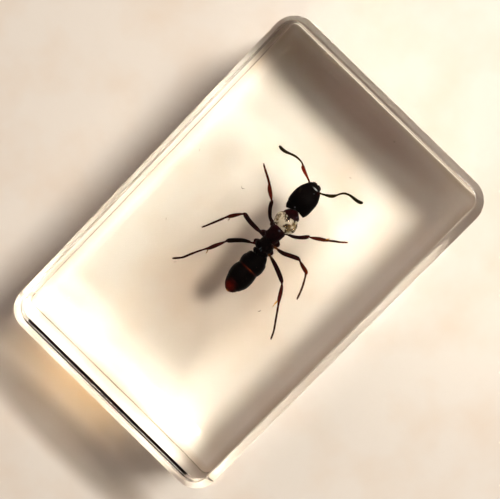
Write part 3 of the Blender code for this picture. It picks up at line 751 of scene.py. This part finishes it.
floorLook = {
    # painted light: the card's colour is lighter round a spot toward the lamp, a painted pool of its light,
    # in mm
    "near": "#f0ebe3", "far": "#dfd9d2", "spot": (26, -12, 0), "inner": 15, "outer": 39,
    # and painted brighter under the block, standing in for light the block gathers onto the card: mm from its
    # middle, and half the soft edge
    "under": "#ffffff", "reach": (22, 14.3), "soft": 0.5,
    # soft patches of painted shade, darkening the card under the block and in its shadow beside it: middle X,
    # Y, half length, half width in mm, strength, colour
    "paintedShade": ((-5, -1, 16, 13.5, 1.0, "#ded6d0"), (20.3, 3, 2.7, 17, 1.0, "#dad0ce"),
             (-33.5, 1, 3.8, 26, 1.0, "#c2bdb8")),
    # faint warm stains: mm across, the levels of the noise they begin and end at, and their strength
    "warm": "#f6e4d2", "stainSize": 9, "stainFrom": (0.45, 0.8), "stainMuch": 0.5,
    "roughness": 0.75,
    "fibre": 0.35, "fibreDepth": 0.05, "fibreStrength": 0.1,      # mm, the paper's grain
    # metres across; mm below the block's middle and slope in degrees, which leave a thin wedge of air
    "size": 0.6, "below": 0.14, "slope": 0.25,
}


# The share of a patch at each point: much * (3u^2 - 2u^3), u = (1 - d) / 0.7 held within 0 and 1,
# where d is the distance from the patch's middle in its half sizes.
def paintedShadePatch(tree, place, x, y, halfX, halfY, much):
    turned = addNode(tree, "ShaderNodeMapping", {"vector_type": "TEXTURE"}, {
        "Vector": place, "Location": (x * mm, y * mm, 0), "Scale": (halfX * mm, halfY * mm, 1)})
    away = addNode(tree, "ShaderNodeVectorMath", {"operation": "LENGTH"}, {0: turned.outputs["Vector"]})
    return remapped(tree, away.outputs["Value"], (1.0, 0.3), (0, much), "SMOOTHSTEP")


# The card's tone with painted light: a painted pool of light near the lamp, and painted brighter in a
# rectangle under the block.
def cardToneWithPaintedLight(tree, place):
    s = floorLook
    # a painted pool of light: the card's colour lightens toward the lamp's spot
    away = addNode(tree, "ShaderNodeVectorMath", {"operation": "DISTANCE"}, {
        0: place, 1: [c * mm for c in s["spot"]]})
    share = remapped(tree, away.outputs["Value"], (s["outer"] * mm, s["inner"] * mm), kind="SMOOTHSTEP")
    beside = blended(tree, share, linear(s["far"]), linear(s["near"]))
    # painted light: the card is painted full white in a rectangle under the block
    side = addNode(tree, "ShaderNodeVectorMath", {"operation": "ABSOLUTE"}, {0: place})
    split = addNode(tree, "ShaderNodeSeparateXYZ", links={"Vector": side.outputs["Vector"]})
    within = [remapped(tree, split.outputs[axis], ((reach + s["soft"]) * mm, (reach - s["soft"]) * mm))
              for axis, reach in zip("XY", s["reach"])]
    both = addNode(tree, "ShaderNodeMath", {"operation": "MULTIPLY"}, {0: within[0], 1: within[1]})
    return blended(tree, both.outputs["Value"], beside, linear(s["under"]))


# Pale uncoated card: its tone with painted light, soft patches of painted shade, faint warm stains and a fine
# paper grain.
def paleCard():
    s = floorLook
    material, tree, place = newMaterial("pale_card")
    tone = cardToneWithPaintedLight(tree, place)
    # soft patches of painted shade darken the card under and beside the block
    for *patch, hexCode in s["paintedShade"]:
        tone = blended(tree, paintedShadePatch(tree, place, *patch), tone, linear(hexCode), "MULTIPLY")
    much = remapped(tree, clouds(tree, place, s["stainSize"], 3.0), s["stainFrom"], (0, s["stainMuch"]))
    grain = clouds(tree, place, s["fibre"], 4.0)
    finished(tree, {
        "Base Color": blended(tree, much, tone, linear(s["warm"]), "MULTIPLY"),
        "Roughness": s["roughness"], "Normal": bumped(tree, grain, s["fibreDepth"], s["fibreStrength"])})
    return material


# The sheet of card under the block: one flat face, slightly off level.
def makeFloor():
    s = floorLook
    half = s["size"] / 2
    corners = np.array(((-half, -half, 0), (half, -half, 0), (half, half, 0), (-half, half, 0)))
    corners[:, 2] = -s["below"] * mm - corners[:, 0] * np.tan(np.radians(s["slope"]))
    mesh = bpy.data.meshes.new("floor")
    mesh.from_pydata(corners.tolist(), [], [(0, 1, 2, 3)])
    mesh.materials.append(paleCard())
    floor = bpy.data.objects.new("floor", mesh)
    bpy.context.scene.collection.objects.link(floor)


# a small window lamp within a wide dim one: the way and metres from the block to both,
# then the name, metres across and watts of each
lampSetting = {
    "toward": (0.5, -0.22, 0.84), "distance": 0.37, "colour": "#fff7ea",
    "lamps": (("window", (0.088, 0.088), 0.96), ("glow", (0.15, 0.15), 0.565)),
}

# light that the block bends onto the card beside it: place and size in mm, spread in degrees, watts
bentSetting = {
    "place": (-25.8, 4.0, 25), "size": (4, 14), "spread": 30, "power": 0.00022, "colour": "#ffc060",
}

roomSetting = {
    # dim at eye level and lighter overhead, between these heights of the view's direction
    "level": "#d8e0ea", "levelStrength": 0.02, "levelTo": 0.2,
    "overhead": "#ffe7db", "overheadStrength": 0.2, "overheadFrom": 0.75,
    "sky": 1.8, "skyLean": (0.2, 1.1, 0.0),   # the room is brighter on these sides
    "shadeFrom": 0.86, "shadeTo": 0.95, "shadeLevel": 0.06,   # and dark straight overhead
}


# An oval lamp that shines down.
def newLamp(name, size, power, hexCode):
    light = bpy.data.lights.new(name, "AREA")
    light.shape = "ELLIPSE"
    light.size, light.size_y = size
    light.energy = power
    light.color = linear(hexCode)[:3]
    lamp = bpy.data.objects.new(name, light)
    bpy.context.scene.collection.objects.link(lamp)
    return lamp


# The lamps that light the block, and the unseen one that stands in for light bent by it.
def makeLamps():
    s = lampSetting
    toward = Vector(s["toward"]).normalized()
    for name, size, power in s["lamps"]:
        lamp = newLamp(name, size, power, s["colour"])
        lamp.location = toward * s["distance"]
        lamp.rotation_euler = toward.to_track_quat("Z", "Y").to_euler()
    b = bentSetting
    bent = newLamp("bent", [c * mm for c in b["size"]], b["power"], b["colour"])
    bent.data.spread = np.radians(b["spread"])
    bent.location = [c * mm for c in b["place"]]
    bent.visible_camera = bent.visible_glossy = bent.visible_transmission = False


# A colour times a strength, for the room.
def roomTone(hexCode, strength):
    return [c * strength for c in linear(hexCode)[:3]] + [1]


# A dim room: dark at eye level, lighter overhead and to some sides, and shaded straight overhead.
def makeRoom():
    s = roomSetting
    room = bpy.data.worlds.new("room")
    room.use_nodes = True
    tree = room.node_tree
    tree.nodes.clear()
    way = addNode(tree, "ShaderNodeTexCoord").outputs["Generated"]
    upward = addNode(tree, "ShaderNodeSeparateXYZ", links={"Vector": way}).outputs["Z"]
    colour = blended(tree, remapped(tree, upward, (s["levelTo"], s["overheadFrom"])),
                     roomTone(s["level"], s["levelStrength"]),
                     roomTone(s["overhead"], s["overheadStrength"]))
    lean = addNode(tree, "ShaderNodeVectorMath", {"operation": "DOT_PRODUCT"}, {0: way, 1: s["skyLean"]})
    sideways = addNode(tree, "ShaderNodeMath", {"operation": "MULTIPLY_ADD"}, {
        0: lean.outputs["Value"], 1: s["sky"], 2: s["sky"]})
    lit = addNode(tree, "ShaderNodeMath", {"operation": "MAXIMUM"}, {0: sideways.outputs["Value"], 1: 0.0})
    shade = remapped(tree, upward, (s["shadeFrom"], s["shadeTo"]), (1.0, s["shadeLevel"]), "SMOOTHSTEP")
    strength = addNode(tree, "ShaderNodeMath", {"operation": "MULTIPLY"}, {0: lit.outputs["Value"], 1: shade})
    background = addNode(tree, "ShaderNodeBackground", links={
        "Color": colour, "Strength": strength.outputs["Value"]})
    addNode(tree, "ShaderNodeOutputWorld", links={"Surface": background.outputs["Background"]})
    scene = bpy.context.scene
    scene.world = room
    scene.view_settings.view_transform = "Standard"
    # light bent by the resin stays sharp on the card
    scene.cycles.sample_clamp_indirect = 0
    scene.cycles.blur_glossy = 0


# the camera is 94 mm above the block and looks nearly straight down: right and up are its axes
cameraSetting = {
    "place": (9.1, -1.0, 111.0),
    "right": (0.6956, -0.7152, -0.0679),
    "up": (0.7133, 0.6988, -0.0538),
    "focalPixels": 915, "imageWidth": 500, "sensor": 36,
}


# The photo's own view.
def makeCamera():
    s = cameraSetting
    camera = bpy.data.cameras.new("camera")
    camera.sensor_width = s["sensor"]
    camera.lens = s["focalPixels"] * s["sensor"] / s["imageWidth"]
    camera.clip_start = mm
    view = bpy.data.objects.new("camera", camera)
    right = Vector(s["right"]).normalized()
    back = right.cross(Vector(s["up"])).normalized()
    turned = Matrix((right, back.cross(right), back)).transposed().to_4x4()
    view.matrix_world = Matrix.Translation(Vector(s["place"]) * mm) @ turned
    bpy.context.scene.collection.objects.link(view)
    bpy.context.scene.camera = view


print("resin block")
makeBlock(castResin(), bubbleSheenAndStain())
print("dust and scratches")
makeSpecks(dustLook())
print("ant")
cuticle = driedCuticle()
antPieces = makeBody(cuticle) + makeLimbs(cuticle)
makeSetae(antPieces, cuticle)
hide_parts("ant")
print("floor, light and camera")
makeFloor()
makeLamps()
makeRoom()
makeCamera()
